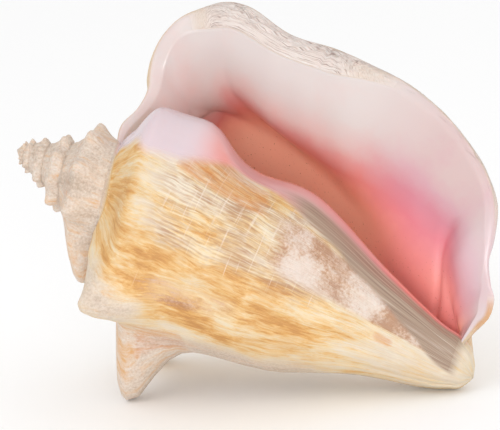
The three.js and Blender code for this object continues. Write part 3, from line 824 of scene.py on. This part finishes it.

# %% [markdown]
# ### The porcelain inside
#
# The pigment is laid down with the shell and fades toward the lip, so a colour ramp reads the blush zone:
# salmon in the depth, pink, then grey white. Toward the canal it turns to rose and mauve. At the deep end
# both ramps turn lighter again: that is painted light, making up for the shade deep in the aperture and the
# canal. Over that lie a few dark specks, the lilac of the callus, and a taupe strip of thin glaze whose fine
# hairs follow the columella.

# %% Porcelain colours
depth = node("ShaderNodeMath", {0: noise["clouds"], 1: 0.3, 2: zone["blush"]}, operation="MULTIPLY_ADD")
depth = node("ShaderNodeMath", {0: depth, 1: 0.15}, operation="SUBTRACT")
# the last two stops are lighter than the salmon before them: painted light for the shade deep inside
SALMON_AND_PAINTED_LIGHT = [(0.0, "D3C9C6"), (0.18, "D8BDB9"), (0.36, "DC9F9B"), (0.55, "E28C82"), (0.8, "FAAF97"),
          (1.0, "FFC0A4")]
# the last stop is lighter than the rose before it: painted light for the shade in the canal
ROSE_AND_PAINTED_LIGHT = [(0.0, "CDB4B2"), (0.15, "CC9FA8"), (0.38, "CF8392"), (0.65, "DE818D"), (1.0, "F2A09A")]
STRIP = [(0.3, "8A7160"), (0.5, "A28A77"), (0.64, "B09B87"), (0.72, "D0C2B4")]
inner_colour = node("ShaderNodeValToRGB", {0: depth}, stops=SALMON_AND_PAINTED_LIGHT)
rose_and_painted_light = node("ShaderNodeValToRGB", {0: depth}, stops=ROSE_AND_PAINTED_LIGHT)
strip = node("ShaderNodeValToRGB", {0: noise["hairs"]}, stops=STRIP)
speck = node("ShaderNodeMath", {0: zone["blush"], 1: 0.16, 2: noise["grain"]}, operation="MULTIPLY_ADD")
speck = node("ShaderNodeMapRange", {0: speck, 1: 0.81, 2: 0.86, 4: 0.6})
SPECK, LILAC = colour("8E4A35"), colour("D3C0C5")
for part, coat in ((zone["rosy"], rose_and_painted_light), (speck, SPECK), (zone["lilac"], LILAC), (zone["brown"], strip)):
    inner_colour = node("ShaderNodeMix", {0: part, 6: inner_colour, 7: coat}, 2, data_type="RGBA")

# %% [markdown]
# ### Putting the finishes together
#
# The rim shows the edges of the layers, as thin dark lines between pale ones. The glaze is smooth and the
# chalk rough, and the fine lines stand up as a bump under a millimetre high, nearly flat in the glaze.
# Modelling them would take millions of faces.

# %% Layered rim, roughness, bump and shader
LAYERS = [(0.36, "A5918A"), (0.43, "CDBCB3"), (0.5, "DCCFC8"), (0.7, "E3DAD5")]
MATT_CHALK, SMOOTH_GLAZE = 0.62, 0.24
rim_colour = node("ShaderNodeValToRGB", {0: noise["layers"]}, stops=LAYERS)
base = outer_colour
for part, coat in ((zone["glaze"], inner_colour), (zone["rim"], rim_colour)):
    base = node("ShaderNodeMix", {0: part, 6: base, 7: coat}, 2, data_type="RGBA")
rough = node("ShaderNodeMix", {0: zone["glaze"], 2: MATT_CHALK, 3: SMOOTH_GLAZE}, data_type="FLOAT")
height = node("ShaderNodeMath", {0: noise["grain"], 1: 0.5, 2: noise["lines"]}, operation="MULTIPLY_ADD")
matt = node("ShaderNodeMath", {0: 1.0, 1: zone["glaze"]}, operation="SUBTRACT")
matt = node("ShaderNodeMath", {0: matt, 1: 0.9, 2: 0.06}, operation="MULTIPLY_ADD")
height = node("ShaderNodeMath", {0: height, 1: matt}, operation="MULTIPLY")
bump = node("ShaderNodeBump", {"Height": height, "Strength": 0.5, "Distance": 0.0008})
shader = node("ShaderNodeBsdfPrincipled", {
    "Base Color": base, "Roughness": rough, "IOR": 1.55, "Normal": bump,
    "Subsurface Weight": 0.12, "Subsurface Radius": (1.0, 0.55, 0.4), "Subsurface Scale": 0.003,
})
node("ShaderNodeOutputMaterial", {"Surface": shader})
joined.materials.clear()
joined.materials.append(finish)
print("material nodes:", len(tree.nodes))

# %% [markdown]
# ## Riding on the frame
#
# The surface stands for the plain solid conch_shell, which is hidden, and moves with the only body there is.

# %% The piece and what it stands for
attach(shell, "root")
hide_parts("conch_shell")

# %% [markdown]
# ## The table, the light and the camera
#
# A pale floor and a white surrounding give the even light of a light tent. Two big soft lights add the long
# highlights that show where the glaze is. The camera looks down a little, from the side of the aperture.

# %% Floor
FLOOR = 6.0
floor_mesh = bpy.data.meshes.new("floor")
half = FLOOR / 2
corners = [(-half, -half, 0), (half, -half, 0), (half, half, 0), (-half, half, 0)]
floor_mesh.from_pydata(corners, [], [(0, 1, 2, 3)])
floor = bpy.data.objects.new("floor", floor_mesh)
bpy.context.scene.collection.objects.link(floor)
paper = bpy.data.materials.new("white card, matt")
paper.use_nodes = True
paper.node_tree.nodes["Principled BSDF"].inputs["Base Color"].default_value = colour("FEFEFE")
paper.node_tree.nodes["Principled BSDF"].inputs["Roughness"].default_value = 0.9
floor_mesh.materials.append(paper)


# %% Lights
def softbox(name, where, power, width):
    """A square area light that faces the middle of the shell."""
    light = bpy.data.lights.new(name, "AREA")
    light.shape, light.size, light.energy = "SQUARE", width, power
    box = bpy.data.objects.new(name, light)
    box.location = where
    middle = Vector((0, 0, 0.07))
    box.rotation_euler = (middle - box.location).to_track_quat("-Z", "Y").to_euler()
    bpy.context.scene.collection.objects.link(box)


softbox("key", (-0.9, -0.8, 1.3), 2.0, 0.9)
softbox("fill", (0.1, -1.35, 0.2), 6.0, 0.5)
world = bpy.data.worlds.new("light tent")
world.use_nodes = True
world.node_tree.nodes["Background"].inputs["Color"].default_value = (1, 1, 1, 1)
world.node_tree.nodes["Background"].inputs["Strength"].default_value = 0.96
bpy.context.scene.world = world
bpy.context.scene.view_settings.view_transform = "Standard"

# %% Camera
CAMERA_AT = np.array([103.4, -915.0, -29.04])    # from the apex: right, away, up in the view's own directions
VIEW_WIDTH, VIEW_DISTANCE, SENSOR = 220.0, 900.0, 36.0
lens = bpy.data.cameras.new("camera")
lens.sensor_width = SENSOR
lens.lens = SENSOR * VIEW_DISTANCE / VIEW_WIDTH
camera = bpy.data.objects.new("camera", lens)
right, away, up = settle.T
spot = settle @ CAMERA_AT * MM + shift
camera.matrix_world = Matrix((
    (right[0], up[0], -away[0], spot[0]),
    (right[1], up[1], -away[1], spot[1]),
    (right[2], up[2], -away[2], spot[2]),
    (0, 0, 0, 1),
))
bpy.context.scene.collection.objects.link(camera)
bpy.context.scene.camera = camera
print("camera at", spot.round(3), "looks down", round(math.degrees(math.asin(-away[2])), 1), "degrees")
